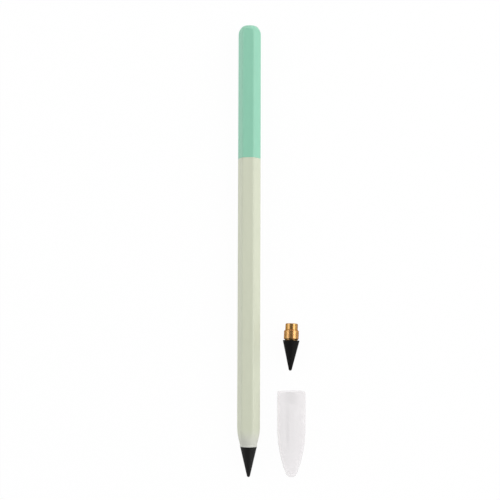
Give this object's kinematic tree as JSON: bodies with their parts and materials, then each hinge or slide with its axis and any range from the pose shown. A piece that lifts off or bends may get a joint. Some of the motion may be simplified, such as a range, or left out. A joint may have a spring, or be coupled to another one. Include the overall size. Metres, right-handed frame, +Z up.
{
  "type": "inkless metal pencil",
  "caption": "Hexagonal two-tone metal pencil with a screw-in graphite alloy nib, lying beside a spare nib with a brass thread and a translucent bullet-shaped cap.",
  "frame": {"origin": "on the desk under the pencil's axis, half way between the nib's point and the tail, on the flat that the front barrel rests on", "axes": "+Y along the pencil towards its tail, +Z up from the desk, +X towards the loose spare nib and cap"},
  "size_m": [0.0264, 0.175, 0.0108],
  "materials": {
    "cream_lacquer": "satin",
    "mint_lacquer": "satin",
    "joiner_aluminium": "satin",
    "graphite_alloy": "matte",
    "turned_brass": "polished",
    "frosted_plastic": "satin"
  },
  "bodies": {
    "pencil": {"front_barrel": "cream_lacquer", "rear_barrel": "mint_lacquer", "barrel_joiner": "joiner_aluminium"},
    "nib": {"nib_tip": "graphite_alloy", "nib_ferrule": "turned_brass"},
    "spare_nib": {"spare_nib_tip": "graphite_alloy", "spare_nib_ferrule": "turned_brass"},
    "cap": {"cap": "frosted_plastic"}
  },
  "joints": [
    {"name": "nib_unscrew", "type": "slide", "parent": "pencil", "child": "nib", "axis": [0, -1, 0], "range_m": [0, 0.012]},
    {"name": "spare_nib_lift", "type": "slide", "parent": "pencil", "child": "spare_nib", "axis": [0, 0, 1], "range_m": [0, 0.05]},
    {"name": "cap_lift", "type": "slide", "parent": "pencil", "child": "cap", "axis": [0, 0, 1], "range_m": [0, 0.05]}
  ]
}
